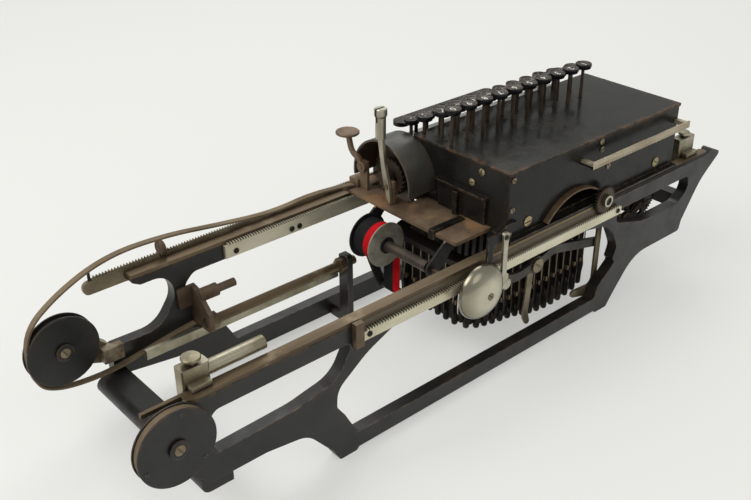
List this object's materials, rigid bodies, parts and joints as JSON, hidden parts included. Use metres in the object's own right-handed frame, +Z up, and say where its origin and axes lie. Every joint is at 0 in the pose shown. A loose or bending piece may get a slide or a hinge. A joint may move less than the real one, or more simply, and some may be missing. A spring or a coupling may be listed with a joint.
{
  "type": "typewriter",
  "caption": "Flat-bed billing typewriter: a keyboard head with a type basket that travels by rack and pinion along a two-rail cast frame with a spring drum",
  "frame": {"origin": "on the table under the middle of the machine's bounding box", "axes": "+X along the rails towards the spring drum, +Y towards the bell side, +Z up"},
  "size_m": [0.6379, 0.198, 0.2085],
  "materials": {
    "black_casting": "semi-gloss black enamel on cast iron, worn to brown metal at the edges",
    "brown_steel": "bare steel gone brown with age",
    "aged_nickel": "dulled nickel plate",
    "black_enamel": "glossy black enamel with rubbed corners",
    "dark_steel": "dark oiled steel",
    "key_cap": "dark key tops with pale figures, on nickel stems",
    "strap_cloth": "tan woven strap",
    "ribbon_cloth": "inked ribbon, half black and half red"
  },
  "bodies": {
    "frame": {"near_side_frame": "black_casting", "far_side_frame": "black_casting", "near_rail": "brown_steel", "far_rail": "brown_steel", "near_rack": "aged_nickel", "far_rack": "aged_nickel", "crossbars": "black_casting", "tie_rod": "brown_steel", "rod_post": "black_casting", "leg_bracket": "black_casting", "flat_bar": "aged_nickel", "tabulator_bar": "aged_nickel", "pulley_bracket": "black_casting", "frame_screws": "aged_nickel", "strap": "strap_cloth"},
    "head": {"head_base": "black_enamel", "head_casing": "black_enamel", "top_cover": "black_enamel", "key_deck": "black_enamel", "end_plate": "black_enamel", "shelf": "brown_steel", "hood": "black_enamel", "ribbon_strip": "ribbon_cloth", "bell": "aged_nickel", "bell_bracket": "aged_nickel", "arch_lip": "brown_steel", "scale_strip": "aged_nickel", "head_screws": "aged_nickel", "type_segment": "dark_steel", "type_bars": "dark_steel", "paper_finger": "aged_nickel"},
    "spring_drum": {"spring_drum": "black_casting", "drum_band": "strap_cloth"},
    "strap_pulley": {"strap_pulley": "black_casting"},
    "left_stop": {"left_stop": "aged_nickel"},
    "left_stop_knob": {"left_stop_knob": "brown_steel"},
    "right_stop": {"right_stop": "aged_nickel"},
    "escapement_wheel": {"escapement_wheel": "brown_steel"},
    "fork_lever": {"fork_lever": "aged_nickel"},
    "thumb_lever": {"thumb_lever": "brown_steel"},
    "left_spool": {"left_spool": "dark_steel", "left_ribbon": "ribbon_cloth"},
    "right_spool": {"right_spool": "dark_steel"},
    "bell_hammer": {"bell_hammer": "aged_nickel"},
    "pinion": {"pinion": "aged_nickel"},
    "ribbon_lever": {"ribbon_lever": "dark_steel"},
    "space_bar": {"space_bar": "key_cap"},
    "rear_key_01": {"rear_key_01": "key_cap"},
    "rear_key_02": {"rear_key_02": "key_cap"},
    "rear_key_03": {"rear_key_03": "key_cap"},
    "rear_key_04": {"rear_key_04": "key_cap"},
    "rear_key_05": {"rear_key_05": "key_cap"},
    "rear_key_06": {"rear_key_06": "key_cap"},
    "rear_key_07": {"rear_key_07": "key_cap"},
    "rear_key_08": {"rear_key_08": "key_cap"},
    "rear_key_09": {"rear_key_09": "key_cap"},
    "rear_key_10": {"rear_key_10": "key_cap"},
    "second_key_row": {"second_key_row": "key_cap"},
    "third_key_row": {"third_key_row": "key_cap"},
    "front_key_row": {"front_key_row": "key_cap"}
  },
  "joints": [
    {"name": "head_slide", "type": "slide", "parent": "frame", "child": "head", "axis": [1, 0, 0], "range_m": [0, 0.18], "deforming": ["strap"]},
    {"name": "spring_drum_turn", "type": "hinge", "parent": "frame", "child": "spring_drum", "pos_m": [0.291, 0.082, 0.0923], "axis": [0, 1, 0], "range_deg": [-10, 400]},
    {"name": "strap_pulley_turn", "type": "hinge", "parent": "frame", "child": "strap_pulley", "pos_m": [0.291, -0.077, 0.0807], "axis": [0, 1, 0], "range_deg": [-10, 400]},
    {"name": "pinion_turn", "type": "hinge", "parent": "head", "child": "pinion", "pos_m": [-0.137, 0.08, 0.11878], "axis": [0, 1, 0], "range_deg": [-10, 870]},
    {"name": "escapement_turn", "type": "hinge", "parent": "head", "child": "escapement_wheel", "pos_m": [0, -0.044, 0.1395], "axis": [1, 0, 0], "range_deg": [-10, 815]},
    {"name": "left_stop_slide", "type": "slide", "parent": "frame", "child": "left_stop", "axis": [1, 0, 0], "range_m": [-0.12, 0]},
    {"name": "left_stop_knob_turn", "type": "hinge", "parent": "left_stop", "child": "left_stop_knob", "pos_m": [0.2625, 0.0627, 0.133], "axis": [0, 0, 1], "continuous": true},
    {"name": "right_stop_slide", "type": "slide", "parent": "frame", "child": "right_stop", "axis": [1, 0, 0], "range_m": [-0.008, 0.012]},
    {"name": "fork_lever_swing", "type": "hinge", "parent": "head", "child": "fork_lever", "pos_m": [0.012, -0.031, 0.1395], "axis": [1, 0, 0], "range_deg": [-12, 12]},
    {"name": "thumb_lever_swing", "type": "hinge", "parent": "head", "child": "thumb_lever", "pos_m": [0.011, -0.066, 0.1455], "axis": [1, 0, 0], "range_deg": [0, 14], "stiffness_Nm_per_rad": 0.25, "springref_deg": -5.73},
    {"name": "left_spool_turn", "type": "hinge", "parent": "head", "child": "left_spool", "pos_m": [0.034, -0.02, 0.101], "axis": [0, 1, 0], "continuous": true},
    {"name": "right_spool_turn", "type": "hinge", "parent": "head", "child": "right_spool", "pos_m": [-0.236, 0.028, 0.08], "axis": [0, 1, 0], "continuous": true},
    {"name": "bell_hammer_swing", "type": "hinge", "parent": "head", "child": "bell_hammer", "pos_m": [-0.0025, 0.087, 0.134], "axis": [0, 1, 0], "range_deg": [0, 14]},
    {"name": "ribbon_lever_swing", "type": "hinge", "parent": "head", "child": "ribbon_lever", "pos_m": [-0.073, 0.062, 0.072], "axis": [0, 1, 0], "range_deg": [-6, 6]},
    {"name": "rear_key_01_press", "type": "slide", "parent": "head", "child": "rear_key_01", "axis": [0, 0, 1], "range_m": [-0.01, 0], "stiffness_N_per_m": 150, "springref_m": 0.004},
    {"name": "rear_key_02_press", "type": "slide", "parent": "head", "child": "rear_key_02", "axis": [0, 0, 1], "range_m": [-0.01, 0], "stiffness_N_per_m": 150, "springref_m": 0.004},
    {"name": "rear_key_03_press", "type": "slide", "parent": "head", "child": "rear_key_03", "axis": [0, 0, 1], "range_m": [-0.01, 0], "stiffness_N_per_m": 150, "springref_m": 0.004},
    {"name": "rear_key_04_press", "type": "slide", "parent": "head", "child": "rear_key_04", "axis": [0, 0, 1], "range_m": [-0.01, 0], "stiffness_N_per_m": 150, "springref_m": 0.004},
    {"name": "rear_key_05_press", "type": "slide", "parent": "head", "child": "rear_key_05", "axis": [0, 0, 1], "range_m": [-0.01, 0], "stiffness_N_per_m": 150, "springref_m": 0.004},
    {"name": "rear_key_06_press", "type": "slide", "parent": "head", "child": "rear_key_06", "axis": [0, 0, 1], "range_m": [-0.01, 0], "stiffness_N_per_m": 150, "springref_m": 0.004},
    {"name": "rear_key_07_press", "type": "slide", "parent": "head", "child": "rear_key_07", "axis": [0, 0, 1], "range_m": [-0.01, 0], "stiffness_N_per_m": 150, "springref_m": 0.004},
    {"name": "rear_key_08_press", "type": "slide", "parent": "head", "child": "rear_key_08", "axis": [0, 0, 1], "range_m": [-0.01, 0], "stiffness_N_per_m": 150, "springref_m": 0.004},
    {"name": "rear_key_09_press", "type": "slide", "parent": "head", "child": "rear_key_09", "axis": [0, 0, 1], "range_m": [-0.01, 0], "stiffness_N_per_m": 150, "springref_m": 0.004},
    {"name": "rear_key_10_press", "type": "slide", "parent": "head", "child": "rear_key_10", "axis": [0, 0, 1], "range_m": [-0.01, 0], "stiffness_N_per_m": 150, "springref_m": 0.004},
    {"name": "second_key_row_press", "type": "slide", "parent": "head", "child": "second_key_row", "axis": [0, 0, 1], "range_m": [-0.01, 0], "stiffness_N_per_m": 1500, "springref_m": 0.004},
    {"name": "third_key_row_press", "type": "slide", "parent": "head", "child": "third_key_row", "axis": [0, 0, 1], "range_m": [-0.01, 0], "stiffness_N_per_m": 1500, "springref_m": 0.004},
    {"name": "front_key_row_press", "type": "slide", "parent": "head", "child": "front_key_row", "axis": [0, 0, 1], "range_m": [-0.008, 0], "stiffness_N_per_m": 1500, "springref_m": 0.004},
    {"name": "space_bar_press", "type": "slide", "parent": "head", "child": "space_bar", "axis": [0, 0, 1], "range_m": [-0.006, 0], "stiffness_N_per_m": 300, "springref_m": 0.004}
  ],
  "couplings": [
    {"joint": "pinion_turn", "follows": "head_slide", "rad_per_m": 82.457},
    {"joint": "spring_drum_turn", "follows": "head_slide", "rad_per_m": 38.462},
    {"joint": "strap_pulley_turn", "follows": "head_slide", "rad_per_m": 38.462},
    {"joint": "escapement_turn", "follows": "head_slide", "rad_per_m": 77.303},
    {"joint": "right_spool_turn", "follows": "left_spool_turn", "ratio": 1}
  ]
}
